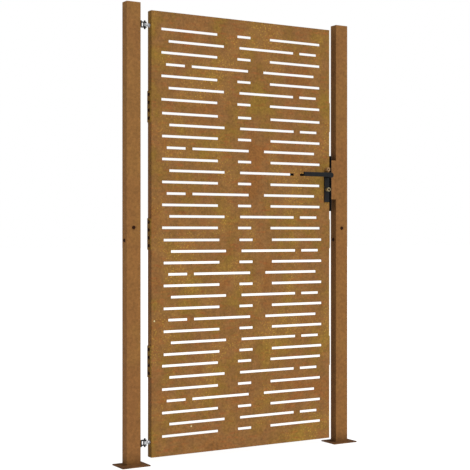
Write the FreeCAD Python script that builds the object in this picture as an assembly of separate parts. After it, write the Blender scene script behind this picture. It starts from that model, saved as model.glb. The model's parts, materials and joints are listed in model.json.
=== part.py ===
import FreeCAD, Part
import math
import os

# Garden gate: a slotted sheet-steel leaf between two posts, on adjustable eye-bolt hinges.
# Units are millimetres. Origin: on the ground, midway between the posts and midway through
# their depth. +X runs from the hinge post to the latch post, +Z is up, the front faces -Y.

V = FreeCAD.Vector

# ---- driving dimensions -------------------------------------------------------------------
OVERALL_WIDTH = 1050.0
OVERALL_HEIGHT = 1800.0
POST_WIDTH = 60.0
POST_DEPTH = 40.0
POST_WALL = 2.0
POST_CORNER = 1.0
POST_JOINT_Z = 900.0
POST_JOINT_GAP = 0.2
SLEEVE_LENGTH = 160.0
SLEEVE_WALL = 3.0
SLEEVE_PLAY = 0.2
CAP_THICKNESS = 2.0
POST_SCREW_OFFSET = 25.0

BASE_WIDTH = 120.0
BASE_DEPTH = 100.0
BASE_THICKNESS = 4.0
BASE_CORNER = 4.0
ANCHOR_SPACING_X = 90.0
ANCHOR_SPACING_Y = 70.0
ANCHOR_RADIUS = 5.0

HINGE_GAP = 48.0
LATCH_GAP = 32.0
LEAF_BOTTOM = 25.0
LEAF_TOP = 1775.0
LEAF_DEPTH = 32.0
SHEET = 2.0
SHEET_BEND = 1.6
LIP = 20.0
LOCK_LIP = 30.0
SEAMS = (400.0, 900.0, 1400.0)
SEAM_GAP = 0.02

SLOT_HEIGHT = 9.8
SLOT_ROWS = {
    "A": ((0.0, 253.0), (347.0, 410.5), (504.0, 754.0)),
    "B": ((32.0, 284.0), (357.0, 620.0), (651.0, 736.0)),
    "C": ((20.5, 105.0), (135.5, 398.5), (472.0, 724.0)),
}
# name: (row pattern from the top, height of the top row, row pitch, inset of the pattern)
PANEL_SLOTS = {
    "top": ("ABACABA", 1706.1, 46.1, 44.0),
    "upper": ("ABACABACABA", 1375.4, 45.1, 47.0),
    "lower": ("ABACABACABA", 875.8, 45.1, 54.0),
    "bottom": ("ABACABA", 380.0, 46.1, 47.0),
}

SIDE_PLATE_HEIGHT = 124.0
SIDE_PLATE_DEPTH = 30.0
SIDE_PLATE_THICKNESS = 3.0
SIDE_SCREW_OFFSETS = (-46.5, -15.5, 15.5, 46.5)
HOLE_PLAY = 0.2

# Screws and nuts: M4 countersunk in the lock, M8 round-headed in the plates and posts.
M4_RADIUS = 2.0
M4_HEAD_RADIUS = 4.0
M4_HEAD_DEPTH = 1.9
M4_SOCKET = 2.5
M4_GRIP = 6.0
M8_RADIUS = 4.0
M8_HEAD_RADIUS = 7.0
M8_HEAD_HEIGHT = 3.6
M8_SOCKET = 5.0
M8_FLATS = 13.0
M8_NUT_HEIGHT = 6.5
M8_THREAD_END = 1.0
HEAD_ROUNDING = 0.75
SOCKET_SHARE = 0.6

HINGE_HEIGHTS = {"lower": 84.0, "upper": 1718.0}
HINGE_AXIS_FROM_POST = 27.0
PIN_RADIUS = 3.5
PIN_PLAY = 0.05
PIN_END = 6.0
PIN_CHAMFER = 0.8
PIN_GROOVE_RADIUS = 2.7
CLIP_RADIUS = 5.0
CLIP_THICKNESS = 1.0
CLIP_GAP = 3.4
CLIP_PLAY = 0.1
BRACKET_HEIGHT = 22.0
BRACKET_WEB = 5.0
BRACKET_WEB_HEIGHT = 24.0
BRACKET_WEB_DEPTH = 40.0
BRACKET_ARM = 3.0
BRACKET_RADIUS = 8.0
EYE_RADIUS = 7.0
EYE_HEIGHT = 12.0
EYE_BOLT_LENGTH = 46.0
NUT_CROWN = 0.2
WASHER_RADIUS = 8.0
WASHER_THICKNESS = 1.6

SPINDLE_INSET = 16.0
SPINDLE_Z = 1150.5
CYLINDER_Z = 1090.0
FIXING_Z = 1176.0
SPINDLE_SIDE = 8.0
CASE_BOTTOM = 1070.0
CASE_TOP = 1190.0
CASE_WIDTH = 27.0
CASE_DEPTH = 20.0
CASE_WALL = 1.5
FOREND_BOTTOM = 998.0
FOREND_TOP = 1235.0
FOREND_DEPTH = 24.0
FOREND_THICKNESS = 2.0
FOREND_SCREW_INSET = 10.0
ESCUTCHEON_BOTTOM = 1036.0
ESCUTCHEON_TOP = 1164.0
ESCUTCHEON_WIDTH = 25.0
ESCUTCHEON_THICKNESS = 5.0
ESCUTCHEON_ROUNDING = 1.5
ESCUTCHEON_SCREW_HEIGHTS = (1046.0, 1130.0)
ESCUTCHEON_THREAD_DEPTH = 3.5
ESCUTCHEON_HEAD_DEPTH = 2.4

LEVER_REACH = 140.0
LEVER_FRONT = 39.5
LEVER_BAR_HEIGHT = 18.0
LEVER_BAR_THICKNESS = 8.0
LEVER_BAR_RISE = 1.5
LEVER_HUB_RADIUS = 11.0
LEVER_ROUNDING = 1.5
LEVER_PLAY = 0.4
LEVER_NECK_RADIUS = 8.0
LEVER_NECK_LENGTH = 10.0
LEVER_NECK_SINK = 1.0
SPINDLE_COVER = 8.0
SPINDLE_HOLE_SINK = 2.0
GRUB_DEPTH = 12.0
GRUB_RADIUS = 2.0
GRUB_SINK = 1.0
GRUB_SOCKET = 2.0
FOLLOWER_RADIUS = 9.0
FOLLOWER_NECK_RADIUS = 7.0
FOLLOWER_PLAY = 0.3
FOLLOWER_FINGER_START = 5.0
FOLLOWER_FINGER_REACH = 15.5
FOLLOWER_FINGER_WIDTH = 4.0
FOLLOWER_FINGER_DEPTH = 6.0
FOLLOWER_FINGER_LEAN = 22.5

CYLINDER_RADIUS = 8.5
CYLINDER_PROUD = 20.5
CYLINDER_CHAMFER = 0.8
CYLINDER_CAM_PLAY = 0.6
PLUG_RADIUS = 5.5
PLUG_RECESS = 0.6
KEYWAY_WIDTH = 2.4
KEYWAY_DEPTH = 14.0
KEYWAY_BELOW = 3.8
KEYWAY_ABOVE = 3.6
CAM_REACH = 9.4
CAM_RADIUS = 7.0
CAM_LOBE_WIDTH = 7.0
CAM_WIDTH = 9.4
FIXING_COLLAR_RADIUS = 8.5
FIXING_COLLAR_ROUNDING = 1.5
FIXING_PROUD = 17.5
FIXING_RADIUS = 3.0
FIXING_GRIP = 8.0
FIXING_SOCKET = 6.0

LATCH_HEIGHT = 16.0
LATCH_DEPTH = 10.0
LATCH_THROW = 10.0
LATCH_TAIL = 1.1
LATCH_BEVEL_LENGTH = 8.0
LATCH_NOSE = 2.2
LATCH_FORK_PLAY = 0.6
LATCH_LUG_WIDTH = 3.0
LATCH_LUG_BOTTOM = 11.5
LATCH_POCKET_DEPTH = 12.0
LATCH_POCKET_PLAY = 0.2
DEADBOLT_Z = 1114.0
DEADBOLT_HEIGHT = 16.0
DEADBOLT_TAIL = 10.5
DEADBOLT_PROUD = 0.5
DEADBOLT_CHAMFER = 0.8
BOLT_PLAY = 0.4
SPRING_RADIUS = 1.9
SPRING_WIRE = 0.25
SPRING_TURNS = 12

KEEPER_BOTTOM = 1049.0
KEEPER_TOP = 1216.0
KEEPER_PROUD = 24.0
STRIKE_THICKNESS = 2.0
STRIKE_POCKET_MARGIN = 2.0
STRIKE_SCREW_HEIGHTS = (1062.0, 1145.0, 1202.0)
STOP_BOTTOM = 1190.0
STOP_TOP = 1226.0
STOP_REACH = 18.0
STOP_THICKNESS = 3.0

# ---- places worked out from the dimensions --------------------------------------------------
POST_INNER = OVERALL_WIDTH / 2 - POST_WIDTH
LEAF_LEFT = -POST_INNER + HINGE_GAP
LEAF_RIGHT = POST_INNER - LATCH_GAP
LEAF_FRONT = -LEAF_DEPTH / 2
LEAF_BACK = LEAF_DEPTH / 2
HINGE_X = -POST_INNER + HINGE_AXIS_FROM_POST
SPINDLE_X = LEAF_RIGHT - SPINDLE_INSET
CASE_RIGHT = LEAF_RIGHT - SHEET
CASE_LEFT = CASE_RIGHT - CASE_WIDTH
FOREND_FACE = LEAF_RIGHT + FOREND_THICKNESS
KEEPER_FACE = POST_INNER - KEEPER_PROUD
STRIKE_FACE = KEEPER_FACE - STRIKE_THICKNESS
LATCH_TAIL_X = SPINDLE_X - LATCH_TAIL
PANEL_SPANS = {
    "bottom": (LEAF_BOTTOM, SEAMS[0]),
    "lower": (SEAMS[0], SEAMS[1]),
    "upper": (SEAMS[1], SEAMS[2]),
    "top": (SEAMS[2], LEAF_TOP),
}


# ---- building blocks ------------------------------------------------------------------------
def box(x, y, z):
    """Box from three (low, high) pairs."""
    return Part.makeBox(x[1] - x[0], y[1] - y[0], z[1] - z[0], V(x[0], y[0], z[0]))


def rod(start, direction, length, radius):
    return Part.makeCylinder(radius, length, V(*start), V(*direction))


def ring(start, direction, length, outer, inner):
    return rod(start, direction, length, outer).cut(rod(start, direction, length, inner))


def hexagon(start, direction, length, flats):
    """Hexagonal prism with two flats facing up and down on a sideways axis."""
    radius = flats / math.sqrt(3)
    points = [V(radius * math.cos(math.radians(60 * i)), radius * math.sin(math.radians(60 * i)), 0)
              for i in range(7)]
    prism = Part.Face(Part.makePolygon(points)).extrude(V(0, 0, length))
    turn = FreeCAD.Rotation(V(0, 0, 1), V(*direction))
    flat_turn = FreeCAD.Rotation(V(0, 0, 1), 90 if abs(direction[0]) else 0)
    prism.Placement = FreeCAD.Placement(V(*start), turn.multiply(flat_turn))
    return prism


def rounded_bar(x, y, z, radius):
    """Upright box with rounded vertical corners."""
    body = box(x, y, z)
    upright = [e for e in body.Edges if abs(e.tangentAt(e.FirstParameter).z) > 0.99]
    return body.makeFillet(radius, upright)


def countersunk_screw(start, direction, length, radius, head_radius, head_depth, socket):
    """Flat-head screw with its face at start and its shank along direction, with a hex socket."""
    head = Part.makeCone(head_radius, radius, head_depth, V(*start), V(*direction))
    shank = rod(start, direction, length, radius)
    return head.fuse(shank).removeSplitter().cut(hexagon(start, direction, head_depth, socket))


def countersunk_hole(start, direction, length, radius, head_radius, head_depth):
    head = Part.makeCone(head_radius, radius, head_depth, V(*start), V(*direction))
    return head.fuse(rod(start, direction, length, radius))


def m4_screw(start, direction, length, head_depth=M4_HEAD_DEPTH):
    return countersunk_screw(start, direction, length, M4_RADIUS, M4_HEAD_RADIUS, head_depth,
                             M4_SOCKET)


def m4_hole(start, direction, length, head_depth=M4_HEAD_DEPTH):
    return countersunk_hole(start, direction, length, M4_RADIUS, M4_HEAD_RADIUS, head_depth)


def round_rim(body, centre, far_from, radius):
    """Fillets the circular edges of body whose centres lie further than far_from from centre."""
    rim = [e for e in body.Edges if isinstance(e.Curve, Part.Circle)
           and (e.Curve.Center - V(*centre)).Length > far_from]
    return body.makeFillet(radius, rim)


def m8_screw(start, direction, length):
    """Domed screw: its head sits on the surface at start and its shank goes along direction."""
    back = tuple(-c for c in direction)
    head = rod(start, back, M8_HEAD_HEIGHT, M8_HEAD_RADIUS)
    head = round_rim(head, start, M8_HEAD_HEIGHT / 2, M8_HEAD_HEIGHT * HEAD_ROUNDING)
    tip = tuple(s + b * M8_HEAD_HEIGHT for s, b in zip(start, back))
    body = head.fuse(rod(start, direction, length, M8_RADIUS))
    return body.cut(hexagon(tip, direction, M8_HEAD_HEIGHT * SOCKET_SHARE, M8_SOCKET))


def cut_all(body, tools):
    return body.cut(Part.makeCompound(tools)) if tools else body


def one_solid(shape):
    """The single solid in a shape that a fuse or a cut returned."""
    return shape.Solids[0] if len(shape.Solids) == 1 else shape


# ---- posts ----------------------------------------------------------------------------------
def post_centre(side):
    return side * (POST_INNER + POST_WIDTH / 2)


def post_tube(centre, bottom, top, shrink, wall):
    """Rectangular tube that is smaller than the post by shrink on each side."""
    half_x = POST_WIDTH / 2 - shrink
    half_y = POST_DEPTH / 2 - shrink
    span = (bottom, top)
    outer = rounded_bar((centre - half_x, centre + half_x), (-half_y, half_y), span, POST_CORNER)
    inner = box((centre - half_x + wall, centre + half_x - wall), (-half_y + wall, half_y - wall),
                span)
    return outer.cut(inner)


def post_screw_places(centre):
    """Start and direction of the screw in the upper half and the one in the lower half."""
    front = ((centre, -POST_DEPTH / 2, POST_JOINT_Z + POST_SCREW_OFFSET), (0, 1, 0))
    side = ((centre - POST_WIDTH / 2, 0, POST_JOINT_Z - POST_SCREW_OFFSET), (1, 0, 0))
    return front, side


def post_screw_holes(centre):
    reach = POST_WALL + SLEEVE_WALL + 2 * SLEEVE_PLAY
    return [rod(start, direction, reach, M8_RADIUS + HOLE_PLAY)
            for start, direction in post_screw_places(centre)]


def base_plate(centre):
    half_x = BASE_WIDTH / 2
    half_y = BASE_DEPTH / 2
    plate = rounded_bar((centre - half_x, centre + half_x), (-half_y, half_y),
                        (0, BASE_THICKNESS), BASE_CORNER)
    holes = [rod((centre + sx * ANCHOR_SPACING_X / 2, sy * ANCHOR_SPACING_Y / 2, 0),
                 (0, 0, 1), BASE_THICKNESS, ANCHOR_RADIUS)
             for sx in (-1, 1) for sy in (-1, 1)]
    return cut_all(plate, holes)


def post_parts(name, side):
    centre = post_centre(side)
    holes = post_screw_holes(centre)
    cap_bottom = OVERALL_HEIGHT - CAP_THICKNESS
    sleeve_span = (POST_JOINT_Z - SLEEVE_LENGTH / 2, POST_JOINT_Z + SLEEVE_LENGTH / 2)
    half_gap = POST_JOINT_GAP / 2
    lower = post_tube(centre, BASE_THICKNESS, POST_JOINT_Z - half_gap, 0, POST_WALL)
    upper = post_tube(centre, POST_JOINT_Z + half_gap, cap_bottom, 0, POST_WALL)
    sleeve = post_tube(centre, sleeve_span[0], sleeve_span[1], POST_WALL + SLEEVE_PLAY,
                       SLEEVE_WALL)
    cap = rounded_bar((centre - POST_WIDTH / 2, centre + POST_WIDTH / 2),
                      (-POST_DEPTH / 2, POST_DEPTH / 2), (cap_bottom, OVERALL_HEIGHT), POST_CORNER)
    return {
        name + "_lower": cut_all(lower, holes),
        name + "_upper": cut_all(upper, holes),
        name + "_sleeve": cut_all(sleeve, holes),
        name + "_cap": cap,
        name + "_base_plate": base_plate(centre),
    }


def post_joint_screws():
    length = POST_WALL + SLEEVE_PLAY + SLEEVE_WALL
    return [m8_screw(start, direction, length)
            for side in (-1, 1)
            for start, direction in post_screw_places(post_centre(side))]


# ---- hinges ---------------------------------------------------------------------------------
def hinge_bracket(height):
    """Bracket on the hinge post: a wide web and two narrow arms, rounded around the pin."""
    half = BRACKET_HEIGHT / 2
    web_face = -POST_INNER + BRACKET_WEB
    web = box((-POST_INNER, web_face), (-BRACKET_WEB_DEPTH / 2, BRACKET_WEB_DEPTH / 2),
              (height - BRACKET_WEB_HEIGHT / 2, height + BRACKET_WEB_HEIGHT / 2))
    arms = rod((HINGE_X, 0, height - half), (0, 0, 1), BRACKET_HEIGHT, BRACKET_RADIUS)
    root = box((-POST_INNER, HINGE_X), (-BRACKET_RADIUS, BRACKET_RADIUS),
               (height - half, height + half))
    mouth = box((web_face, HINGE_X + BRACKET_RADIUS + 1), (-BRACKET_RADIUS - 1, BRACKET_RADIUS + 1),
                (height - half + BRACKET_ARM, height + half - BRACKET_ARM))
    bore = rod((HINGE_X, 0, height - half), (0, 0, 1), BRACKET_HEIGHT, PIN_RADIUS)
    return arms.fuse(root).cut(mouth).fuse(web).removeSplitter().cut(bore)


def clip_height(height, side):
    """Bottom of the clip above (side 1) or below (side -1) a hinge's bracket."""
    arm_face = height + side * (BRACKET_HEIGHT / 2 + CLIP_PLAY)
    return arm_face if side > 0 else arm_face - CLIP_THICKNESS


def hinge_pin(height):
    """Plain pin that stands out of both arms, with a groove for a clip at each end."""
    length = BRACKET_HEIGHT + 2 * PIN_END
    pin = rod((HINGE_X, 0, height - length / 2), (0, 0, 1), length, PIN_RADIUS)
    pin = pin.makeChamfer(PIN_CHAMFER, [e for e in pin.Edges if isinstance(e.Curve, Part.Circle)])
    grooves = [ring((HINGE_X, 0, clip_height(height, side)), (0, 0, 1), CLIP_THICKNESS,
                    PIN_RADIUS + 1, PIN_GROOVE_RADIUS) for side in (-1, 1)]
    return cut_all(pin, grooves)


def hinge_pin_clip(height, side):
    """Open retaining clip in one of the pin's grooves."""
    bottom = clip_height(height, side)
    clip = ring((HINGE_X, 0, bottom), (0, 0, 1), CLIP_THICKNESS, CLIP_RADIUS, PIN_GROOVE_RADIUS)
    gap = box((HINGE_X, HINGE_X + CLIP_RADIUS + 1), (-CLIP_GAP / 2, CLIP_GAP / 2),
              (bottom - 1, bottom + CLIP_THICKNESS + 1))
    return clip.cut(gap)


def eye_bolt(height):
    eye = rod((HINGE_X, 0, height - EYE_HEIGHT / 2), (0, 0, 1), EYE_HEIGHT, EYE_RADIUS)
    shank = rod((HINGE_X, 0, height), (1, 0, 0), EYE_BOLT_LENGTH, M8_RADIUS)
    bore = rod((HINGE_X, 0, height - EYE_HEIGHT), (0, 0, 1), 2 * EYE_HEIGHT,
               PIN_RADIUS + PIN_PLAY)
    return eye.fuse(shank).cut(bore)


def hinge_nut(start_x, height):
    """M8 nut with chamfered corners."""
    nut = hexagon((start_x, 0, height), (1, 0, 0), M8_NUT_HEIGHT, M8_FLATS)
    small = M8_FLATS / 2 + NUT_CROWN
    crowns = [Part.makeCone(low, high, M8_NUT_HEIGHT, V(start_x, 0, height), V(1, 0, 0))
              for low, high in ((small, small + M8_NUT_HEIGHT), (small + M8_NUT_HEIGHT, small))]
    hole = rod((start_x, 0, height), (1, 0, 0), M8_NUT_HEIGHT, M8_RADIUS)
    return nut.common(crowns[0]).common(crowns[1]).cut(hole)


def hinge_washer(start_x, height):
    return ring((start_x, 0, height), (1, 0, 0), WASHER_THICKNESS, WASHER_RADIUS, M8_RADIUS)


def hinge_parts():
    heights = list(HINGE_HEIGHTS.values())
    outer_washer = LEAF_LEFT - WASHER_THICKNESS
    inner_washer = LEAF_LEFT + SHEET
    parts = {}
    for name, height in HINGE_HEIGHTS.items():
        parts[name + "_hinge_bracket"] = hinge_bracket(height)
        parts[name + "_hinge_pin"] = hinge_pin(height)
        parts[name + "_eye_bolt"] = eye_bolt(height)
    parts["hinge_pin_clips"] = [hinge_pin_clip(h, side) for h in heights for side in (-1, 1)]
    parts["hinge_outer_nuts"] = [hinge_nut(outer_washer - M8_NUT_HEIGHT, h) for h in heights]
    parts["hinge_inner_nuts"] = [hinge_nut(inner_washer + WASHER_THICKNESS, h) for h in heights]
    parts["hinge_washers"] = [hinge_washer(x, h) for x in (outer_washer, inner_washer)
                              for h in heights]
    return parts


# ---- leaf -----------------------------------------------------------------------------------
def slot_cutters(name):
    pattern, top_row, pitch, inset = PANEL_SLOTS[name]
    origin = LEAF_LEFT + inset
    cutters = []
    for index, row in enumerate(pattern):
        height = top_row - index * pitch
        span = (height - SLOT_HEIGHT / 2, height + SLOT_HEIGHT / 2)
        for start, end in SLOT_ROWS[row]:
            cutters.append(box((origin + start, origin + end),
                               (LEAF_FRONT - 1, LEAF_FRONT + SHEET + 1), span))
    return cutters


def tray(bottom, top, latch_lip):
    """Folded panel: front sheet, four flanges, and a lip along the back of each side flange."""
    body = rounded_bar((LEAF_LEFT, LEAF_RIGHT), (LEAF_FRONT, LEAF_BACK), (bottom, top), SHEET_BEND)
    inside = (bottom + SHEET, top - SHEET)
    hollow = box((LEAF_LEFT + SHEET, LEAF_RIGHT - SHEET), (LEAF_FRONT + SHEET, LEAF_BACK - SHEET),
                 inside)
    back = box((LEAF_LEFT + LIP, LEAF_RIGHT - latch_lip), (LEAF_BACK - SHEET - 1, LEAF_BACK + 1),
               inside)
    return body.cut(hollow).cut(back)


def lock_cutters():
    """Openings in the lock panel for the spindle, cylinder, screws and the two bolts."""
    through = LEAF_DEPTH + 2
    start_y = LEAF_FRONT - 1
    round_holes = [(SPINDLE_Z, LEVER_NECK_RADIUS + 1), (CYLINDER_Z, CYLINDER_RADIUS + HOLE_PLAY),
                   (FIXING_Z, FIXING_RADIUS + HOLE_PLAY)]
    round_holes += [(z, M4_RADIUS + HOLE_PLAY) for z in ESCUTCHEON_SCREW_HEIGHTS]
    cutters = [rod((SPINDLE_X, start_y, z), (0, 1, 0), through, r) for z, r in round_holes]
    cutters += bolt_windows(LEAF_RIGHT - SHEET - 1, LEAF_RIGHT + 1)
    cutters += [rod((LEAF_RIGHT - SHEET - 1, 0, z), (1, 0, 0), SHEET + 2, M4_RADIUS)
                for z in forend_screw_heights()]
    return cutters


def bolt_openings(x_from, x_to, margin):
    """Rectangular openings for the latch bolt and the deadbolt, larger than them by margin."""
    half_y = LATCH_DEPTH / 2 + margin
    openings = []
    for centre, height in ((FIXING_Z, LATCH_HEIGHT), (DEADBOLT_Z, DEADBOLT_HEIGHT)):
        half_z = height / 2 + margin
        openings.append(box((x_from, x_to), (-half_y, half_y),
                            (centre - half_z, centre + half_z)))
    return openings


def bolt_windows(x_from, x_to):
    return bolt_openings(x_from, x_to, BOLT_PLAY)


def side_flange_cutters(bottom, top):
    """Holes in the side flanges for the eye bolts and for the joining plates' screws."""
    cutters = []
    for height in HINGE_HEIGHTS.values():
        if bottom < height < top:
            cutters.append(rod((LEAF_LEFT - 1, 0, height), (1, 0, 0), SHEET + 2, M8_RADIUS))
    for seam in SEAMS:
        for offset in SIDE_SCREW_OFFSETS:
            if bottom < seam + offset < top:
                for x in (LEAF_LEFT - 1, LEAF_RIGHT - SHEET - 1):
                    cutters.append(rod((x, 0, seam + offset), (1, 0, 0), SHEET + 2, M8_RADIUS))
    return cutters


def panel_bands(name, bottom, top):
    """Heights that part the slot rows, so that no flat face carries more than one row."""
    pattern, top_row, pitch, _ = PANEL_SLOTS[name]
    between = [top_row - (index + 0.5) * pitch for index in range(len(pattern) - 1)]
    edges = [top] + between + [bottom]
    return [(low, high) for high, low in zip(edges, edges[1:])]


def panel(name):
    low, high = PANEL_SPANS[name]
    bottom = low if low == LEAF_BOTTOM else low + SEAM_GAP / 2
    top = high if high == LEAF_TOP else high - SEAM_GAP / 2
    latch_lip = LOCK_LIP if name == "upper" else LIP
    body = tray(bottom, top, latch_lip)
    cutters = slot_cutters(name) + side_flange_cutters(bottom, top)
    if name == "upper":
        cutters += lock_cutters()
    body = cut_all(body, cutters)
    bands = [body.common(box((LEAF_LEFT, LEAF_RIGHT), (LEAF_FRONT, LEAF_BACK), span))
             for span in panel_bands(name, bottom, top)]
    return one_solid(bands[0].multiFuse(bands[1:]))


def side_plate(seam, side):
    """Joining plate on a side edge of the leaf, across one seam. side is -1 hinge, 1 latch."""
    edge = LEAF_LEFT if side < 0 else LEAF_RIGHT
    outer = edge + side * SIDE_PLATE_THICKNESS
    half_z = SIDE_PLATE_HEIGHT / 2
    plate = box((min(edge, outer), max(edge, outer)),
                (-SIDE_PLATE_DEPTH / 2, SIDE_PLATE_DEPTH / 2), (seam - half_z, seam + half_z))
    holes = [rod((outer, 0, seam + offset), (-side, 0, 0), SIDE_PLATE_THICKNESS, M8_RADIUS)
             for offset in SIDE_SCREW_OFFSETS]
    return cut_all(plate, holes)


def side_plate_fasteners():
    """Round-headed screws of the joining plates, and the nuts inside the leaf."""
    length = SIDE_PLATE_THICKNESS + SHEET + M8_NUT_HEIGHT + M8_THREAD_END
    screws = []
    nuts = []
    for side, edge in ((-1, LEAF_LEFT), (1, LEAF_RIGHT)):
        outer = edge + side * SIDE_PLATE_THICKNESS
        inner = edge - side * SHEET
        inward = (-side, 0, 0)
        for z in (seam + offset for seam in SEAMS for offset in SIDE_SCREW_OFFSETS):
            screws.append(m8_screw((outer, 0, z), inward, length))
            nut = hexagon((inner, 0, z), inward, M8_NUT_HEIGHT, M8_FLATS)
            nuts.append(nut.cut(rod((inner, 0, z), inward, M8_NUT_HEIGHT, M8_RADIUS)))
    return {"side_plate_screws": screws, "side_plate_nuts": nuts}


def leaf_parts():
    parts = {"panel_" + name: panel(name) for name in PANEL_SPANS}
    for label, seam in zip(("lower", "middle", "upper"), SEAMS):
        parts["hinge_side_plate_" + label] = side_plate(seam, -1)
        parts["latch_side_plate_" + label] = side_plate(seam, 1)
    parts.update(side_plate_fasteners())
    return parts


# ---- lock -----------------------------------------------------------------------------------
def forend_screw_heights():
    return FOREND_BOTTOM + FOREND_SCREW_INSET, FOREND_TOP - FOREND_SCREW_INSET


def lock_case():
    half = CASE_DEPTH / 2
    shell = box((CASE_LEFT, CASE_RIGHT), (-half, half), (CASE_BOTTOM, CASE_TOP))
    hollow = box((CASE_LEFT + CASE_WALL, CASE_RIGHT - CASE_WALL),
                 (-half + CASE_WALL, half - CASE_WALL),
                 (CASE_BOTTOM + CASE_WALL, CASE_TOP - CASE_WALL))
    holes = [(SPINDLE_Z, FOLLOWER_NECK_RADIUS + PIN_PLAY), (CYLINDER_Z, CYLINDER_RADIUS),
             (FIXING_Z, FIXING_RADIUS), (ESCUTCHEON_SCREW_HEIGHTS[1], M4_RADIUS + HOLE_PLAY)]
    cutters = [rod((SPINDLE_X, -half - 1, z), (0, 1, 0), CASE_DEPTH + 2, r) for z, r in holes]
    cutters += bolt_windows(CASE_RIGHT - CASE_WALL - 1, CASE_RIGHT + 1)
    return shell.cut(hollow).cut(Part.makeCompound(cutters))


def forend():
    half = FOREND_DEPTH / 2
    plate = box((LEAF_RIGHT, FOREND_FACE), (-half, half), (FOREND_BOTTOM, FOREND_TOP))
    cutters = bolt_windows(LEAF_RIGHT - 1, FOREND_FACE + 1)
    cutters += [m4_hole((FOREND_FACE, 0, z), (-1, 0, 0), FOREND_THICKNESS)
                for z in forend_screw_heights()]
    return cut_all(plate, cutters)


def forend_screws():
    length = FOREND_THICKNESS + SHEET + M4_GRIP
    return [m4_screw((FOREND_FACE, 0, z), (-1, 0, 0), length) for z in forend_screw_heights()]


def escutcheon(side):
    """Narrow cover plate, side -1 in front and 1 behind, with softened outer edges."""
    inner = side * LEAF_DEPTH / 2
    outer = inner + side * ESCUTCHEON_THICKNESS
    half_x = ESCUTCHEON_WIDTH / 2
    plate = box((SPINDLE_X - half_x, SPINDLE_X + half_x), (min(inner, outer), max(inner, outer)),
                (ESCUTCHEON_BOTTOM, ESCUTCHEON_TOP))
    face_edges = [e for e in plate.Edges if abs(e.CenterOfMass.y - outer) < 0.01]
    plate = plate.makeFillet(ESCUTCHEON_ROUNDING, face_edges)
    start_y = min(inner, outer) - 1
    reach = ESCUTCHEON_THICKNESS + 2
    cutters = [rod((SPINDLE_X, start_y, SPINDLE_Z), (0, 1, 0), reach,
                   LEVER_NECK_RADIUS + PIN_PLAY),
               rod((SPINDLE_X, start_y, CYLINDER_Z), (0, 1, 0), reach,
                   CYLINDER_RADIUS + HOLE_PLAY)]
    for z in ESCUTCHEON_SCREW_HEIGHTS:
        if side < 0:
            cutters.append(rod((SPINDLE_X, inner - ESCUTCHEON_THREAD_DEPTH, z), (0, 1, 0), reach,
                               M4_RADIUS))
        else:
            cutters.append(m4_hole((SPINDLE_X, outer, z), (0, -1, 0), reach,
                                   ESCUTCHEON_HEAD_DEPTH))
    return cut_all(plate, cutters)


def escutcheon_screws():
    """Screws from the back cover plate into blind threads in the front one."""
    start_y = LEAF_BACK + ESCUTCHEON_THICKNESS
    length = start_y - LEAF_FRONT + ESCUTCHEON_THREAD_DEPTH - HOLE_PLAY
    return [m4_screw((SPINDLE_X, start_y, z), (0, -1, 0), length, ESCUTCHEON_HEAD_DEPTH)
            for z in ESCUTCHEON_SCREW_HEIGHTS]


def collar(side):
    """Round collar standing on the leaf's face, with a softened rim."""
    start = (SPINDLE_X, side * LEAF_DEPTH / 2, FIXING_Z)
    body = rod(start, (0, side, 0), FIXING_PROUD, FIXING_COLLAR_RADIUS)
    return round_rim(body, start, FIXING_PROUD / 2, FIXING_COLLAR_ROUNDING)


def fixing_bolt():
    """Collar-headed bolt through the leaf and the lock case, with a hex socket in its head."""
    shank = rod((SPINDLE_X, LEAF_FRONT, FIXING_Z), (0, 1, 0), LEAF_DEPTH + FIXING_GRIP,
                FIXING_RADIUS)
    socket = hexagon((SPINDLE_X, LEAF_FRONT - FIXING_PROUD, FIXING_Z), (0, 1, 0), FIXING_SOCKET,
                     FIXING_SOCKET)
    return collar(-1).fuse(shank).cut(socket)


def fixing_nut():
    thread = rod((SPINDLE_X, LEAF_BACK, FIXING_Z), (0, 1, 0), FIXING_GRIP, FIXING_RADIUS)
    return collar(1).cut(thread)


def cylinder_body(side):
    """Round lock cylinder, from beside the cam to its proud outer face."""
    inner = CAM_WIDTH / 2 + CYLINDER_CAM_PLAY
    length = LEAF_DEPTH / 2 + CYLINDER_PROUD - inner
    start = (SPINDLE_X, side * inner, CYLINDER_Z)
    body = rod(start, (0, side, 0), length, CYLINDER_RADIUS)
    rim = [e for e in body.Edges if isinstance(e.Curve, Part.Circle)
           and abs(e.Curve.Center.y - start[1]) > length / 2]
    body = body.makeChamfer(CYLINDER_CHAMFER, rim)
    return body.cut(rod(start, (0, side, 0), length, PLUG_RADIUS + PIN_PLAY))


def cylinder_plug(side):
    """Turning core of the cylinder, with a keyway in its outer face."""
    inner = CAM_WIDTH / 2
    outer = LEAF_DEPTH / 2 + CYLINDER_PROUD - PLUG_RECESS
    plug = rod((SPINDLE_X, side * inner, CYLINDER_Z), (0, side, 0), outer - inner, PLUG_RADIUS)
    key_y = sorted((side * (outer - KEYWAY_DEPTH), side * (outer + 1)))
    keyway = box((SPINDLE_X - KEYWAY_WIDTH / 2, SPINDLE_X + KEYWAY_WIDTH / 2), key_y,
                 (CYLINDER_Z - KEYWAY_BELOW, CYLINDER_Z + KEYWAY_ABOVE))
    return plug.cut(keyway)


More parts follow.
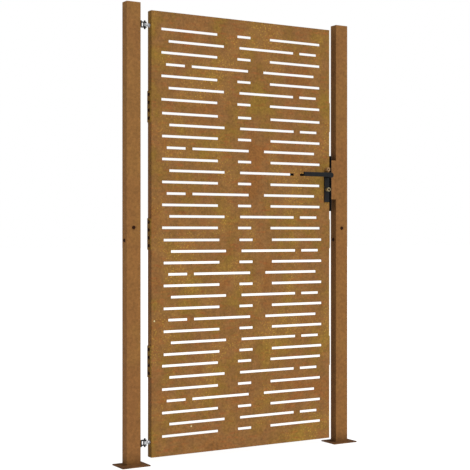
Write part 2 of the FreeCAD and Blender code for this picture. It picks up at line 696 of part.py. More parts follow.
def cylinder_cam():
    """Cam between the two plugs: a disc with a single lobe pointing down at rest."""
    start_y = -CAM_WIDTH / 2
    disc = rod((SPINDLE_X, start_y, CYLINDER_Z), (0, 1, 0), CAM_WIDTH, CAM_RADIUS)
    half_lobe = CAM_LOBE_WIDTH / 2
    lobe = box((SPINDLE_X - half_lobe, SPINDLE_X + half_lobe), (start_y, -start_y),
               (CYLINDER_Z - CAM_REACH, CYLINDER_Z))
    round_end = rod((SPINDLE_X, start_y, CYLINDER_Z), (0, 1, 0), CAM_WIDTH, CAM_REACH)
    return disc.fuse(lobe.common(round_end)).removeSplitter()


def latch_bevel(tip):
    """Wedge that slants the latch bolt's nose on the side that meets the keeper first."""
    half_y = LATCH_DEPTH / 2
    slope_start = tip - LATCH_BEVEL_LENGTH
    outline = Part.makePolygon([V(tip + 1, half_y + 1, 0), V(slope_start - 1, half_y + 1, 0),
                                V(slope_start, half_y, 0), V(tip + 1, LATCH_NOSE - half_y, 0),
                                V(tip + 1, half_y + 1, 0)])
    wedge = Part.Face(outline).extrude(V(0, 0, LATCH_HEIGHT + 2))
    wedge.translate(V(0, 0, FIXING_Z - LATCH_HEIGHT / 2 - 1))
    return wedge


def latch_bolt():
    """Sprung latch bolt: a bevelled head on a fork that straddles the fixing bolt."""
    half_y = LATCH_DEPTH / 2
    half_z = LATCH_HEIGHT / 2
    tip = FOREND_FACE + LATCH_THROW
    body = box((LATCH_TAIL_X, tip), (-half_y, half_y), (FIXING_Z - half_z, FIXING_Z + half_z))
    notch_radius = FIXING_RADIUS + LATCH_FORK_PLAY
    notch_end = SPINDLE_X + LATCH_THROW
    notch = box((LATCH_TAIL_X - 1, notch_end), (-half_y - 1, half_y + 1),
                (FIXING_Z - notch_radius, FIXING_Z + notch_radius))
    notch = notch.fuse(rod((notch_end, -half_y - 1, FIXING_Z), (0, 1, 0), LATCH_DEPTH + 2,
                           notch_radius))
    lug = box((LATCH_TAIL_X, LATCH_TAIL_X + LATCH_LUG_WIDTH), (-half_y, half_y),
              (SPINDLE_Z + LATCH_LUG_BOTTOM, FIXING_Z - half_z))
    pocket = rod((LATCH_TAIL_X - 1, 0, spring_height()), (1, 0, 0), LATCH_POCKET_DEPTH + 1,
                 SPRING_RADIUS + LATCH_POCKET_PLAY)
    return body.cut(latch_bevel(tip)).cut(notch).fuse(lug).removeSplitter().cut(pocket)


def spring_height():
    """Middle of the latch bolt's upper arm, where the spring lies."""
    arm_bottom = FIXING_Z + FIXING_RADIUS + LATCH_FORK_PLAY
    return (arm_bottom + FIXING_Z + LATCH_HEIGHT / 2) / 2


def latch_spring():
    """Compression spring from the case's back wall into the latch bolt's upper arm."""
    start = CASE_LEFT + CASE_WALL + SPRING_WIRE
    end = LATCH_TAIL_X + LATCH_POCKET_DEPTH - SPRING_WIRE
    pitch = (end - start) / SPRING_TURNS
    mean = SPRING_RADIUS - SPRING_WIRE
    helix = Part.makeHelix(pitch, end - start, mean)
    section = Part.Wire(Part.makeCircle(SPRING_WIRE, V(mean, 0, 0), V(0, 1, 0)))
    coil = Part.Wire(helix).makePipeShell([section], True, True)
    turn = FreeCAD.Rotation(V(0, 0, 1), V(1, 0, 0))
    coil.Placement = FreeCAD.Placement(V(start, 0, spring_height()), turn)
    return coil


def deadbolt():
    half_y = LATCH_DEPTH / 2
    half_z = DEADBOLT_HEIGHT / 2
    tip = FOREND_FACE + DEADBOLT_PROUD
    body = box((SPINDLE_X - DEADBOLT_TAIL, tip), (-half_y, half_y),
               (DEADBOLT_Z - half_z, DEADBOLT_Z + half_z))
    end_edges = [e for e in body.Edges if abs(e.CenterOfMass.x - tip) < 0.01]
    return body.makeChamfer(DEADBOLT_CHAMFER, end_edges)


def lock_parts():
    return {
        "lock_case": lock_case(),
        "lock_forend": forend(),
        "forend_screws": forend_screws(),
        "front_escutcheon": escutcheon(-1),
        "back_escutcheon": escutcheon(1),
        "escutcheon_screws": escutcheon_screws(),
        "lock_fixing_bolt": fixing_bolt(),
        "lock_fixing_nut": fixing_nut(),
        "front_cylinder_body": cylinder_body(-1),
        "back_cylinder_body": cylinder_body(1),
        "front_cylinder_plug": cylinder_plug(-1),
        "back_cylinder_plug": cylinder_plug(1),
        "cylinder_cam": cylinder_cam(),
        "latch_bolt": latch_bolt(),
        "latch_spring": latch_spring(),
        "deadbolt": deadbolt(),
    }


# ---- handles --------------------------------------------------------------------------------
def lever(side):
    """Straight flat-bar lever on a round hub, with a neck that turns in the cover plate."""
    face = LEAF_DEPTH / 2
    hub_start = face + ESCUTCHEON_THICKNESS + LEVER_PLAY
    front = face + LEVER_FRONT
    start = (SPINDLE_X, side * hub_start, SPINDLE_Z)
    hub = rod(start, (0, side, 0), front - hub_start, LEVER_HUB_RADIUS)
    hub = round_rim(hub, start, (front - hub_start) / 2, LEVER_ROUNDING)
    neck = rod((SPINDLE_X, side * (face - LEVER_NECK_SINK), SPINDLE_Z), (0, side, 0),
               LEVER_NECK_LENGTH, LEVER_NECK_RADIUS)
    spindle_hole = square_rod(side * (face - SPINDLE_HOLE_SINK), side * (front - SPINDLE_COVER))
    grub_hole = rod((SPINDLE_X, side * grub_y(), SPINDLE_Z - LEVER_HUB_RADIUS - 1), (0, 0, 1),
                    LEVER_HUB_RADIUS, GRUB_RADIUS)
    body = hub.fuse(neck).fuse(lever_bar(side, front)).removeSplitter()
    return body.cut(spindle_hole).cut(grub_hole)


def lever_bar(side, front):
    half = LEVER_BAR_HEIGHT / 2
    middle = SPINDLE_Z + LEVER_BAR_RISE
    bar = box((SPINDLE_X - LEVER_REACH, SPINDLE_X),
              sorted((side * front, side * (front - LEVER_BAR_THICKNESS))),
              (middle - half, middle + half))
    free_edges = [e for e in bar.Edges if e.CenterOfMass.x < SPINDLE_X - 1]
    return bar.makeFillet(LEVER_ROUNDING, free_edges)


def grub_y():
    """Distance of the grub screws from the leaf's middle plane."""
    return LEAF_DEPTH / 2 + GRUB_DEPTH


def square_rod(y_from, y_to):
    half = SPINDLE_SIDE / 2
    return box((SPINDLE_X - half, SPINDLE_X + half), sorted((y_from, y_to)),
               (SPINDLE_Z - half, SPINDLE_Z + half))


def grub_screw(side):
    """Grub screw that clamps a lever on the spindle from below."""
    bottom = SPINDLE_Z - LEVER_HUB_RADIUS + GRUB_SINK
    length = SPINDLE_Z - SPINDLE_SIDE / 2 - bottom
    start = (SPINDLE_X, side * grub_y(), bottom)
    return rod(start, (0, 0, 1), length, GRUB_RADIUS).cut(
        hexagon(start, (0, 0, 1), GRUB_SOCKET, GRUB_SOCKET))


def follower():
    """Hub in the lock case, turned by the spindle, with the finger that draws the latch bolt."""
    half = CASE_DEPTH / 2
    disc_half = half - CASE_WALL - FOLLOWER_PLAY
    disc = rod((SPINDLE_X, -disc_half, SPINDLE_Z), (0, 1, 0), 2 * disc_half, FOLLOWER_RADIUS)
    necks = rod((SPINDLE_X, -half, SPINDLE_Z), (0, 1, 0), CASE_DEPTH, FOLLOWER_NECK_RADIUS)
    half_width = FOLLOWER_FINGER_WIDTH / 2
    half_depth = FOLLOWER_FINGER_DEPTH / 2
    finger = box((SPINDLE_X - half_width, SPINDLE_X + half_width), (-half_depth, half_depth),
                 (SPINDLE_Z + FOLLOWER_FINGER_START, SPINDLE_Z + FOLLOWER_FINGER_REACH))
    finger.rotate(V(SPINDLE_X, 0, SPINDLE_Z), V(0, 1, 0), FOLLOWER_FINGER_LEAN)
    hub = disc.fuse(necks).fuse(finger).removeSplitter()
    return hub.cut(square_rod(-half - 1, half + 1))


def handle_parts():
    spindle_end = LEAF_DEPTH / 2 + LEVER_FRONT - SPINDLE_COVER
    return {
        "front_lever": lever(-1),
        "back_lever": lever(1),
        "spindle": square_rod(-spindle_end, spindle_end),
        "lock_follower": follower(),
        "lever_grub_screws": [grub_screw(-1), grub_screw(1)],
    }


# ---- keeper on the latch post ---------------------------------------------------------------
def keeper_box():
    """Folded box on the latch post's inner face, open towards the post."""
    half = POST_DEPTH / 2
    shell = box((KEEPER_FACE, POST_INNER), (-half, half), (KEEPER_BOTTOM, KEEPER_TOP))
    hollow = box((KEEPER_FACE + SHEET, POST_INNER + 1), (-half + SHEET, half - SHEET),
                 (KEEPER_BOTTOM + SHEET, KEEPER_TOP - SHEET))
    cutters = strike_pockets(KEEPER_FACE - 1, KEEPER_FACE + SHEET + 1)
    cutters += [rod((KEEPER_FACE - 1, 0, z), (1, 0, 0), SHEET + 2, M4_RADIUS)
                for z in STRIKE_SCREW_HEIGHTS]
    return shell.cut(hollow).cut(Part.makeCompound(cutters))


def strike_pockets(x_from, x_to):
    return bolt_openings(x_from, x_to, STRIKE_POCKET_MARGIN)


def strike_plate():
    """Flat strike plate over the keeper box, with pockets for the two bolts."""
    half = POST_DEPTH / 2
    plate = box((STRIKE_FACE, KEEPER_FACE), (-half, half), (FOREND_BOTTOM, FOREND_TOP))
    cutters = strike_pockets(STRIKE_FACE - 1, KEEPER_FACE + 1)
    cutters += [m4_hole((STRIKE_FACE, 0, z), (1, 0, 0), STRIKE_THICKNESS)
                for z in STRIKE_SCREW_HEIGHTS]
    return cut_all(plate, cutters)


def closing_stop():
    """Flat tab on the strike plate that the leaf's back face closes against."""
    back = POST_DEPTH / 2
    return box((STRIKE_FACE - STOP_REACH, STRIKE_FACE), (back - STOP_THICKNESS, back),
               (STOP_BOTTOM, STOP_TOP))


def strike_screws():
    length = STRIKE_THICKNESS + SHEET + M4_GRIP
    return [m4_screw((STRIKE_FACE, 0, z), (1, 0, 0), length) for z in STRIKE_SCREW_HEIGHTS]


def keeper_parts():
    return {
        "keeper_box": keeper_box(),
        "strike_plate": strike_plate(),
        "strike_screws": strike_screws(),
        "closing_stop": closing_stop(),
    }


# ---- assembly -------------------------------------------------------------------------------
def all_parts():
    parts = {}
    parts.update(post_parts("hinge_post", -1))
    parts.update(post_parts("latch_post", 1))
    parts["post_joint_screws"] = post_joint_screws()
    parts.update(hinge_parts())
    parts.update(leaf_parts())
    parts.update(lock_parts())
    parts.update(handle_parts())
    parts.update(keeper_parts())
    return parts


def export(name, shape):
    if isinstance(shape, list):
        shape = Part.makeCompound([one_solid(s) for s in shape])
    else:
        shape = one_solid(shape)
    valid = "valid" if shape.isValid() else "NOT VALID"
    print("%-26s solids %2d  volume %12.1f  %s" % (name, len(shape.Solids), shape.Volume, valid))
    shape.exportStep("parts/%s.step" % name)


os.makedirs("parts", exist_ok=True)
for part_name, part_shape in all_parts().items():
    export(part_name, part_shape)
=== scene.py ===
import json
import math

import bmesh
import bpy
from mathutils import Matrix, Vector


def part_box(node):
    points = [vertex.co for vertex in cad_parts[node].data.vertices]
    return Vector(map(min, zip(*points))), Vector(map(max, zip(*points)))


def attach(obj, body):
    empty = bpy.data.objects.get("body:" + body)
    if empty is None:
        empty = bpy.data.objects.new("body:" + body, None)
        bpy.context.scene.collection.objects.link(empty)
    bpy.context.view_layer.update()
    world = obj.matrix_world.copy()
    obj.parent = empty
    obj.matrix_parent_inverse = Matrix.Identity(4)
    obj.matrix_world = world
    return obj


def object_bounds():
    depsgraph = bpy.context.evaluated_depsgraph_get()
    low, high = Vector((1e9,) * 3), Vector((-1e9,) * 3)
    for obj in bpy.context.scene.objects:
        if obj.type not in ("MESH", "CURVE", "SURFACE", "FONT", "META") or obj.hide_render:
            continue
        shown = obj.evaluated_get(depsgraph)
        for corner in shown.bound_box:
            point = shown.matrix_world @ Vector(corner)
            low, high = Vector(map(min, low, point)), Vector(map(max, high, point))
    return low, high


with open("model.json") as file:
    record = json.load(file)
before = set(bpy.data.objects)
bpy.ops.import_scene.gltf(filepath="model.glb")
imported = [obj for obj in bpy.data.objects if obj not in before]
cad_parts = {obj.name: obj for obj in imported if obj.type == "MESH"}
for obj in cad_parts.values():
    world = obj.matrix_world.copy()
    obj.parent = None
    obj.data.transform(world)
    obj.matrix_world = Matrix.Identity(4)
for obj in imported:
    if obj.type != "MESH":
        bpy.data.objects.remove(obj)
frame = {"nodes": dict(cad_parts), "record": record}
nodes = frame["nodes"]
cad_low, cad_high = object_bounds()

MM = 0.001

# Welds: leg lengths, and the pitch of the ripples along them.
FOOT_WELD_LEG = 3.2 * MM
FOOT_WELD_RIPPLE = 4 * MM
POST_CORNER = 1 * MM
WELD_STEP = 1 * MM
WELD_RIPPLE = 3.5 * MM
BRACKET_WELD_LEG = 2.2 * MM
KEEPER_WELD_LEG = 2.5 * MM
KEEPER_WELD_SHARE = 0.6

# Threads on the M8 eye bolts.
THREAD_PITCH = 1.25 * MM
THREAD_STEPS = 20
THREAD_CREST = 0.25 * MM
THREAD_ROOT = 0.15 * MM
CREST_HALF_WIDTH = 0.12 * MM
ROOT_HALF_WIDTH = 0.5 * MM
SHANK_RADIUS = 4 * MM
EYE_REACH = 15 * MM
NUT_OVERLAP = 1 * MM
BOLT_END = 0.6 * MM

# Surroundings, light and camera, in metres.
FLOOR_REACH = 60.0
SKY_SEEN = 1.0
SKY_LIGHT = 0.45
SUN_ENERGY = 2.0
SUN_ANGLE = math.radians(50)
SUN_TOWARDS = Vector((-0.45, 0.75, -0.95))
CAMERA_PLACE = (-2.416, -4.048, 0.902)
CAMERA_TURN = (math.radians(90), 0, math.radians(-31.42))
CAMERA_LENS = 87.86
CAMERA_SHIFT = (-0.0377, -0.0033)


# ---- shader graphs ----------------------------------------------------------------------
class Graph:
    """One material's node tree, with short calls that add a node and return its output."""

    def __init__(self, name):
        self.material = bpy.data.materials.new(name)
        self.material.use_nodes = True
        self.tree = self.material.node_tree
        self.tree.nodes.clear()
        self.shader = self.tree.nodes.new("ShaderNodeBsdfPrincipled")
        output = self.tree.nodes.new("ShaderNodeOutputMaterial")
        self.tree.links.new(self.shader.outputs["BSDF"], output.inputs["Surface"])
        self.place = self.tree.nodes.new("ShaderNodeTexCoord").outputs["Object"]

    def put(self, socket, value):
        """Links an output to a socket, or sets the socket's own value."""
        if isinstance(value, bpy.types.NodeSocket):
            self.tree.links.new(value, socket)
        else:
            socket.default_value = value

    def node(self, kind, inputs, **settings):
        made = self.tree.nodes.new(kind)
        for name, value in settings.items():
            setattr(made, name, value)
        for name, value in inputs.items():
            self.put(made.inputs[name], value)
        return made

    def stretched(self, factors):
        return self.node("ShaderNodeVectorMath", {0: self.place, 1: factors},
                         operation="MULTIPLY").outputs[0]

    def noise(self, scale, detail=4.0, roughness=0.55, place=None, distortion=0.0):
        inputs = {"Vector": place or self.place, "Scale": scale, "Detail": detail,
                  "Roughness": roughness, "Distortion": distortion}
        return self.node("ShaderNodeTexNoise", inputs).outputs["Fac"]

    def spots(self, scale, radius, place=None):
        """1 inside scattered round spots and 0 outside. radius is a share of the cell size."""
        cells = self.node("ShaderNodeTexVoronoi",
                          {"Vector": place or self.place, "Scale": scale})
        return self.ranged(cells.outputs["Distance"], radius, radius * 0.5, 0.0, 1.0)

    def ranged(self, value, low, high, to_low=0.0, to_high=1.0):
        """The value's range from low to high stretched to another range, and held there."""
        inputs = {"Value": value, "From Min": low, "From Max": high,
                  "To Min": to_low, "To Max": to_high}
        return self.node("ShaderNodeMapRange", inputs, clamp=True).outputs["Result"]

    def times(self, first, second):
        return self.node("ShaderNodeMath", {0: first, 1: second}, operation="MULTIPLY").outputs[0]

    def mix(self, share, first, second, blend="MIX"):
        """Colour mix: share 0 gives first and share 1 gives second."""
        made = self.node("ShaderNodeMix", {}, data_type="RGBA", blend_type=blend)
        self.put(made.inputs[0], share)
        self.put(made.inputs[6], first)
        self.put(made.inputs[7], second)
        return made.outputs[2]

    def ramp(self, value, stops):
        made = self.node("ShaderNodeValToRGB", {"Fac": value})
        ramp = made.color_ramp
        while len(ramp.elements) < len(stops):
            ramp.elements.new(1.0)
        for element, (position, colour) in zip(ramp.elements, stops):
            element.position = position
            element.color = colour
        return made.outputs["Color"]

    def mottled(self, colour, scale, depth, roughness=0.6):
        """The colour made lighter and darker by up to depth in blotches of 1/scale metres."""
        blotches = self.noise(scale, detail=3.0, roughness=roughness)
        shade = self.ramp(blotches, [(0.3, (1 - depth, 1 - depth, 1 - depth, 1.0)),
                                     (0.7, (1 + depth, 1 + depth, 1 + depth, 1.0))])
        return self.mix(1.0, colour, shade, "MULTIPLY")

    def painted_gap_shade(self, colour, reach, least):
        """Painted shade: the colour, down to a share of itself where another surface stands
        within reach.
        """
        open_share = self.node("ShaderNodeAmbientOcclusion", {"Distance": reach}).outputs["AO"]
        shade = self.ramp(open_share, [(0.35, (least, least, least, 1.0)),
                                       (0.85, (1.0, 1.0, 1.0, 1.0))])
        return self.mix(1.0, colour, shade, "MULTIPLY")

    def height(self):
        """Height above the ground in metres."""
        return self.node("ShaderNodeSeparateXYZ", {"Vector": self.place}).outputs["Z"]

    def bump(self, value, strength, distance):
        made = self.node("ShaderNodeBump", {"Height": value, "Strength": strength,
                                            "Distance": distance})
        self.put(self.shader.inputs["Normal"], made.outputs["Normal"])

    def finish(self, **inputs):
        for name, value in inputs.items():
            self.put(self.shader.inputs[name.replace("_", " ")], value)
        return self.material


def srgb(red, green, blue):
    """Linear colour from display values of 0 to 255."""
    def linear(value):
        share = value / 255
        return share / 12.92 if share <= 0.04045 else ((share + 0.055) / 1.055) ** 2.4
    return (linear(red), linear(green), linear(blue), 1.0)


def corten(name, tones, streak, speckle, patch=6.0, contrast=1.0):
    """Rusted weathering steel: soft patches, sideways streaks, fine ochre speckle, pale dots."""
    g = Graph(name)
    spread = 0.14 / contrast
    patches = g.noise(patch, detail=5.0, roughness=0.6)
    colour = g.ramp(patches, [(0.5 - spread, tones[0]), (0.5 - spread * 0.2, tones[1]),
                              (0.5 + spread * 0.3, tones[2]), (0.5 + spread, tones[3])])
    streaks = g.noise(1.0, detail=3.0, place=g.stretched((22.0, 22.0, 85.0)))
    colour = g.mix(g.ranged(streaks, 0.54, 0.72, 0.0, 0.55 * contrast), colour, streak)
    colour = g.mottled(colour, 28.0, 0.10)
    colour = g.mottled(colour, 110.0, 0.20)
    colour = g.mottled(colour, 420.0, 0.16, roughness=0.7)
    where = g.ranged(g.noise(5.0, detail=4.0), 0.50, 0.62)
    colour = g.mix(g.times(where, 0.12), colour, speckle)
    flecks = g.times(g.spots(105.0, 0.36), where)
    colour = g.mix(g.times(flecks, 0.9), colour, speckle)
    dots = g.spots(6.5, 0.028)
    colour = g.mix(g.times(dots, 0.85), colour, srgb(226, 214, 160))
    pits = g.noise(260.0, detail=6.0, roughness=0.75)
    g.bump(pits, 0.35, 0.0004)
    return g.finish(Base_Color=colour, Roughness=g.ranged(patches, 0.3, 0.7, 0.72, 0.88),
                    Specular_IOR_Level=0.12)


def post_corten(name):
    """The posts' smoother patina, ochre towards the top and redder towards the ground, with
    painted shade in the gaps.
    """
    g = Graph(name)
    colour = g.ramp(g.times(g.height(), 1 / 1.8), [
        (0.0, srgb(132, 91, 48)), (0.45, srgb(134, 92, 48)), (1.0, srgb(133, 94, 50))])
    patches = g.noise(5.0, detail=4.0, place=g.stretched((1.0, 1.0, 0.45)))
    colour = g.mix(g.ranged(patches, 0.42, 0.66, 0.0, 0.5), colour, srgb(128, 84, 47))
    drift = g.noise(9.0, detail=3.0)
    colour = g.mix(g.ranged(drift, 0.5, 0.72, 0.0, 0.4), colour, srgb(140, 102, 50))
    colour = g.mottled(colour, 30.0, 0.08)
    colour = g.mottled(colour, 90.0, 0.16)
    colour = g.mottled(colour, 420.0, 0.14, roughness=0.7)
    pits = g.noise(260.0, detail=6.0, roughness=0.75)
    g.bump(pits, 0.3, 0.0004)
    # Painted shade: the post colour darkened where another part stands close, as in the gap
    # beside the leaf.
    colour = g.painted_gap_shade(colour, 0.08, 0.55)
    return g.finish(Base_Color=colour, Roughness=0.8, Specular_IOR_Level=0.12)


def base_corten(name):
    """Base plates: a darker, browner patina than the posts."""
    g = Graph(name)
    patches = g.noise(14.0, detail=5.0, roughness=0.6)
    colour = g.ramp(patches, [(0.35, srgb(86, 58, 36)), (0.5, srgb(104, 70, 40)),
                              (0.68, srgb(122, 84, 46))])
    pits = g.noise(260.0, detail=6.0, roughness=0.75)
    g.bump(pits, 0.35, 0.0004)
    return g.finish(Base_Color=colour, Roughness=0.82, Specular_IOR_Level=0.12)


def powder_coat(name):
    """Charcoal powder coat with a fine orange-peel surface."""
    g = Graph(name)
    cloud = g.noise(40.0, detail=3.0)
    colour = g.ramp(cloud, [(0.3, srgb(10, 11, 13)), (0.7, srgb(18, 19, 22))])
    peel = g.noise(1500.0, detail=2.0)
    g.bump(peel, 0.25, 0.0002)
    return g.finish(Base_Color=colour, Roughness=0.5, Specular_IOR_Level=0.2)


def black_steel(name):
    g = Graph(name)
    cloud = g.noise(300.0, detail=3.0)
    colour = g.ramp(cloud, [(0.3, srgb(40, 18, 6)), (0.7, srgb(54, 27, 10))])
    g.bump(cloud, 0.2, 0.0002)
    return g.finish(Base_Color=colour, Roughness=0.6, Specular_IOR_Level=0.08)


def bracket_steel(name):
    g = Graph(name)
    cloud = g.noise(90.0, detail=4.0)
    colour = g.ramp(cloud, [(0.3, srgb(18, 15, 13)), (0.7, srgb(32, 27, 23))])
    g.bump(g.noise(700.0, detail=3.0), 0.25, 0.0003)
    return g.finish(Base_Color=colour, Roughness=0.5, Specular_IOR_Level=0.35, Metallic=0.3)


def zinc(name):
    """Zinc plating: bright, slightly blue-grey, with a faint crystal mottle and turning marks."""
    g = Graph(name)
    mottle = g.noise(180.0, detail=4.0, roughness=0.6)
    colour = g.ramp(mottle, [(0.3, srgb(176, 178, 181)), (0.7, srgb(212, 214, 216))])
    marks = g.noise(900.0, detail=2.0)
    g.bump(marks, 0.12, 0.0002)
    return g.finish(Base_Color=colour, Metallic=0.85,
                    Roughness=g.ranged(mottle, 0.3, 0.7, 0.28, 0.42))


def brass(name):
    """Lightly dulled brass."""
    g = Graph(name)
    mottle = g.noise(220.0, detail=4.0, roughness=0.6)
    colour = g.ramp(mottle, [(0.3, srgb(158, 144, 104)), (0.7, srgb(188, 176, 138))])
    g.bump(g.noise(1100.0, detail=2.0), 0.12, 0.0002)
    return g.finish(Base_Color=colour, Metallic=0.75,
                    Roughness=g.ranged(mottle, 0.3, 0.7, 0.32, 0.46))


def bronze(name):
    """Dull brown finish of the lock's fixing collars."""
    g = Graph(name)
    mottle = g.noise(220.0, detail=4.0, roughness=0.6)
    colour = g.ramp(mottle, [(0.3, srgb(140, 104, 64)), (0.7, srgb(164, 128, 84))])
    g.bump(g.noise(1100.0, detail=2.0), 0.12, 0.0002)
    return g.finish(Base_Color=colour, Roughness=0.55, Specular_IOR_Level=0.3)


def floor_white(name):
    """White floor, lit mostly by its own glow so that the gate's shadow on it stays faint."""
    g = Graph(name)
    colour = g.ramp(g.noise(2.0, detail=2.0), [(0.3, (0.30, 0.30, 0.30, 1.0)),
                                               (0.7, (0.32, 0.32, 0.32, 1.0))])
    return g.finish(Base_Color=colour, Roughness=1.0, Specular_IOR_Level=0.0,
                    Emission_Color=(1.0, 1.0, 1.0, 1.0), Emission_Strength=0.9)


FRONT_TONES = (srgb(130, 86, 42), srgb(131, 92, 51), srgb(128, 91, 46), srgb(132, 100, 42))
PLATE_TONES = (srgb(128, 96, 36), srgb(134, 100, 40), srgb(122, 88, 38), srgb(140, 110, 48))
MATERIALS = {
    "corten_front": corten("corten_front", FRONT_TONES, srgb(146, 84, 42), srgb(172, 132, 56)),
    "corten_post": post_corten("corten_post"),
    "corten_plate": corten("corten_plate", PLATE_TONES, srgb(136, 92, 36), srgb(160, 126, 52),
                           patch=20.0, contrast=0.8),
    "black_coating": powder_coat("black_coating"),
    "black_screws": black_steel("black_screws"),
    "brass": brass("brass"),
    "bronze": bronze("bronze"),
    "hinge_steel": bracket_steel("hinge_steel"),
    "zinc_steel": zinc("zinc_steel"),
}
BASE_MATERIAL = base_corten("corten_base")


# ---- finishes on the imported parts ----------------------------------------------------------
def edge_width(name):
    """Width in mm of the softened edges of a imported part."""
    if name.startswith("panel_"):
        return 0.15
    if "screws" in name or name == "hinge_pin_clips":
        return 0.15
    if "post" in name or name in ("keeper_box", "strike_plate", "closing_stop"):
        return 0.4
    return 0.25


def soften(piece, width_mm):
    """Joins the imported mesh's doubled points and rounds its sharp edges a little."""
    weld = piece.modifiers.new("join_points", "WELD")
    weld.merge_threshold = 0.00001
    bevel = piece.modifiers.new("soft_edges", "BEVEL")
    bevel.width = width_mm * MM
    bevel.segments = 2
    bevel.limit_method = "ANGLE"
    bevel.angle_limit = math.radians(40)
    bevel.use_clamp_overlap = True
    normals = piece.modifiers.new("flat_faces", "WEIGHTED_NORMAL")
    normals.keep_sharp = True


def dress_packed_parts():
    slots = {row["node"]: row["material_slot"] for row in frame["record"]["subparts"]}
    for name, piece in nodes.items():
        material = BASE_MATERIAL if name.endswith("base_plate") else MATERIALS[slots[name]]
        for material_slot in piece.material_slots:
            material_slot.material = material
        soften(piece, edge_width(name))


# ---- welds -------------------------------------------------------------------------------
def new_piece(name, mesh, body, material):
    piece = bpy.data.objects.new(name, mesh)
    bpy.context.scene.collection.objects.link(piece)
    mesh.materials.append(material)
    for polygon in mesh.polygons:
        polygon.use_smooth = True
    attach(piece, body)
    return piece


def swept(name, rings, closed):
    """Mesh from rings of points, joined ring to ring and capped at its ends unless closed."""
    mesh = bpy.data.meshes.new(name)
    bm = bmesh.new()
    made = [[bm.verts.new(p) for p in ring] for ring in rings]
    count = len(made)
    for i in range(count if closed else count - 1):
        here = made[i]
        after = made[(i + 1) % count]
        size = len(here)
        for k in range(size):
            bm.faces.new((here[k], here[(k + 1) % size], after[(k + 1) % size], after[k]))
    if not closed:
        bm.faces.new(made[0][::-1])
        bm.faces.new(made[-1])
    bmesh.ops.recalc_face_normals(bm, faces=bm.faces)
    bm.to_mesh(mesh)
    bm.free()
    return mesh


def rounded_rectangle(centre, half_x, half_y, radius, step):
    """Points round a rectangle with rounded corners, each with its outward direction."""
    path = []
    for turn in range(4):
        angle = math.radians(90 * turn)
        out = Vector((math.cos(angle), math.sin(angle), 0))
        along = Vector((-out.y, out.x, 0))
        reach = half_x if turn % 2 == 0 else half_y
        half = (half_y if turn % 2 == 0 else half_x) - radius
        count = max(2, int(2 * half / step))
        for i in range(count + 1):
            path.append((centre + out * reach + along * (half * (2 * i / count - 1)), out))
        corner = centre + out * (reach - radius) + along * half
        for i in range(1, 4):
            swing = angle + math.radians(90 * i / 4)
            direction = Vector((math.cos(swing), math.sin(swing), 0))
            path.append((corner + direction * radius, direction))
    return path


def weld_rings(path, up, leg, ripple_pitch):
    """Fillet-weld cross-sections along a path of (corner point, outward direction)."""
    rings = []
    travelled = 0.0
    previous = path[0][0]
    for point, out in path:
        travelled += (point - previous).length
        previous = point
        swell = 1 + 0.10 * math.sin(2 * math.pi * travelled / ripple_pitch)
        size = leg * swell
        ring = [point - out * leg * 0.3 - up * leg * 0.3]
        for i in range(5):
            share = i / 4
            bulge = 1 + 0.22 * math.sin(math.pi * share)
            ring.append(point + (out * (1 - share) + up * share) * size * bulge)
        rings.append(ring)
    return rings


def foot_weld(post):
    """Weld round the foot of a post, on its base plate."""
    low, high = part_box(post + "_lower")
    plate_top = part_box(post + "_base_plate")[1].z
    centre = Vector(((low.x + high.x) / 2, (low.y + high.y) / 2, plate_top))
    path = rounded_rectangle(centre, (high.x - low.x) / 2, (high.y - low.y) / 2, POST_CORNER,
                             WELD_STEP)
    name = post + "_foot_weld"
    rings = weld_rings(path, Vector((0, 0, 1)), FOOT_WELD_LEG, FOOT_WELD_RIPPLE)
    new_piece(name, swept(name, rings, closed=True), "posts", BASE_MATERIAL)


def straight_weld(name, start, end, out, up, slot, leg):
    """Weld on the posts along one straight corner, in its slot's material."""
    count = max(4, int((end - start).length / WELD_STEP))
    path = [(start.lerp(end, i / count), out) for i in range(count + 1)]
    mesh = swept(name, weld_rings(path, up, leg, WELD_RIPPLE), closed=False)
    new_piece(name, mesh, "posts", MATERIALS[slot])


def bracket_welds():
    """Upright welds where each hinge bracket's sides meet the post."""
    for level in ("lower", "upper"):
        low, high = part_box(level + "_hinge_bracket")
        for label, y, side in (("front", low.y, -1), ("back", high.y, 1)):
            straight_weld("%s_bracket_weld_%s" % (level, label),
                          Vector((low.x, y, low.z)), Vector((low.x, y, high.z)),
                          Vector((0, side, 0)), Vector((1, 0, 0)), "hinge_steel",
                          BRACKET_WELD_LEG)


def keeper_welds():
    """Short welds that hold the keeper box on the post, above and below it."""
    low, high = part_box("keeper_box")
    half = (high.y - low.y) / 2 * KEEPER_WELD_SHARE
    for label, z, side in (("bottom", low.z, -1), ("top", high.z, 1)):
        straight_weld("keeper_weld_" + label, Vector((high.x, -half, z)),
                      Vector((high.x, half, z)), Vector((-1, 0, 0)), Vector((0, 0, side)),
                      "corten_post", KEEPER_WELD_LEG)


# ---- bolt threads --------------------------------------------------------------------------
def thread(name, start_x, end_x, centre):
    """Raised helical ridge along X round a plain shank."""
    turns = (end_x - start_x) / THREAD_PITCH
    count = int(turns * THREAD_STEPS)
    rings = []
    for i in range(count + 1):
        angle = 2 * math.pi * i / THREAD_STEPS
        x = start_x + (end_x - start_x) * i / count
        out = Vector((0, math.cos(angle), math.sin(angle)))
        fade = min(1.0, i / THREAD_STEPS, (count - i) / THREAD_STEPS)
        crest = SHANK_RADIUS + THREAD_CREST * fade
        root = SHANK_RADIUS - THREAD_ROOT
        base = Vector((x, centre.y, centre.z))
        to_crest = Vector((CREST_HALF_WIDTH, 0, 0))
        to_root = Vector((ROOT_HALF_WIDTH, 0, 0))
        rings.append([base + out * root - to_root, base + out * crest - to_crest,
                      base + out * crest + to_crest, base + out * root + to_root])
    mesh = swept(name, rings, closed=False)
    new_piece(name, mesh, "leaf", MATERIALS["zinc_steel"])


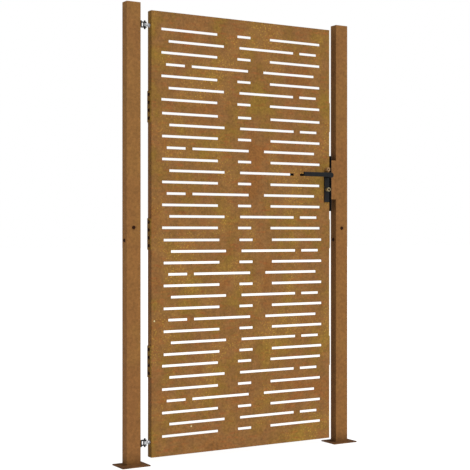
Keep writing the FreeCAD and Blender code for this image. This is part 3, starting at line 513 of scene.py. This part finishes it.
def eye_bolt_threads():
    """Threads on each eye bolt, from the eye to the outer nut and past the inner nut."""
    outer_nut_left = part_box("hinge_outer_nuts")[0].x
    inner_nut_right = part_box("hinge_inner_nuts")[1].x
    for level in ("lower", "upper"):
        low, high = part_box(level + "_eye_bolt")
        centre = (low + high) / 2
        thread(level + "_eye_bolt_thread_outer", low.x + EYE_REACH, outer_nut_left + NUT_OVERLAP,
               centre)
        thread(level + "_eye_bolt_thread_inner", inner_nut_right - NUT_OVERLAP, high.x - BOLT_END,
               centre)


# ---- surroundings ----------------------------------------------------------------------------
def lay_floor():
    mesh = bpy.data.meshes.new("floor")
    bm = bmesh.new()
    corners = [bm.verts.new((sx * FLOOR_REACH, sy * FLOOR_REACH, cad_low.z))
               for sx, sy in ((-1, -1), (1, -1), (1, 1), (-1, 1))]
    bm.faces.new(corners)
    bm.to_mesh(mesh)
    bm.free()
    floor = bpy.data.objects.new("floor", mesh)
    bpy.context.scene.collection.objects.link(floor)
    mesh.materials.append(floor_white("floor_white"))


def light_scene():
    """A white surround, dimmer as a light than it looks, and a wide soft sun from the front."""
    world = bpy.data.worlds.new("white_studio")
    world.use_nodes = True
    background = world.node_tree.nodes["Background"]
    background.inputs["Color"].default_value = (1.0, 1.0, 1.0, 1.0)
    seen = world.node_tree.nodes.new("ShaderNodeLightPath").outputs["Is Camera Ray"]
    strength = world.node_tree.nodes.new("ShaderNodeMapRange")
    strength.inputs["To Min"].default_value = SKY_LIGHT
    strength.inputs["To Max"].default_value = SKY_SEEN
    world.node_tree.links.new(seen, strength.inputs["Value"])
    world.node_tree.links.new(strength.outputs["Result"], background.inputs["Strength"])
    bpy.context.scene.world = world
    sun = bpy.data.lights.new("soft_key", "SUN")
    sun.energy = SUN_ENERGY
    sun.angle = SUN_ANGLE
    key = bpy.data.objects.new("soft_key", sun)
    key.rotation_euler = SUN_TOWARDS.to_track_quat("-Z", "Y").to_euler()
    bpy.context.scene.collection.objects.link(key)


def place_camera():
    data = bpy.data.cameras.new("camera")
    data.lens = CAMERA_LENS
    data.sensor_width = 36.0
    data.shift_x, data.shift_y = CAMERA_SHIFT
    data.clip_end = 200.0
    camera = bpy.data.objects.new("camera", data)
    camera.location = CAMERA_PLACE
    camera.rotation_euler = CAMERA_TURN
    bpy.context.scene.collection.objects.link(camera)
    bpy.context.scene.camera = camera


dress_packed_parts()
for post_name in ("hinge_post", "latch_post"):
    foot_weld(post_name)
bracket_welds()
keeper_welds()
eye_bolt_threads()
lay_floor()
light_scene()
place_camera()
bpy.context.scene.view_settings.view_transform = "Standard"
